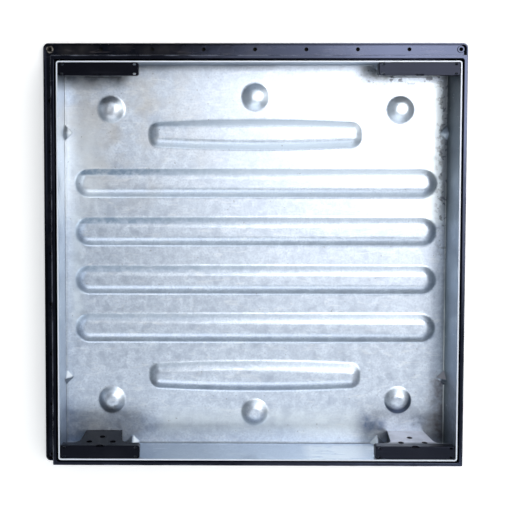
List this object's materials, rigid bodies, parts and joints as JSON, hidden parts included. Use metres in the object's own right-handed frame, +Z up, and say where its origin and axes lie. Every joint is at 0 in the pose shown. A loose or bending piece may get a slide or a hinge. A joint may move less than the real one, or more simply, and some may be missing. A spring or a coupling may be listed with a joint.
{
  "type": "recessed paving cover",
  "caption": "Square recessed cover: ribbed and domed galvanised tray for paving, standing in a black plastic frame with a perforated base flange and corner blocks.",
  "frame": {"origin": "centre of the frame's flat base, which rests on the ground", "axes": "+Z up, out of the tray's open top; +Y towards the top of the picture; +X to its right, along the tray's long ribs"},
  "size_m": [0.5, 0.5, 0.064],
  "materials": {
    "frame_plastic": "satin, moulded black polypropylene",
    "galvanised_steel": "hot-dip galvanised, mottled spangle",
    "block_plastic": "matt, moulded black plastic"
  },
  "bodies": {
    "root": {"frame": "frame_plastic", "tray": "galvanised_steel", "corner_block_front_left": "block_plastic", "corner_block_front_right": "block_plastic", "corner_block_back_left": "block_plastic", "corner_block_back_right": "block_plastic"}
  },
  "joints": []
}
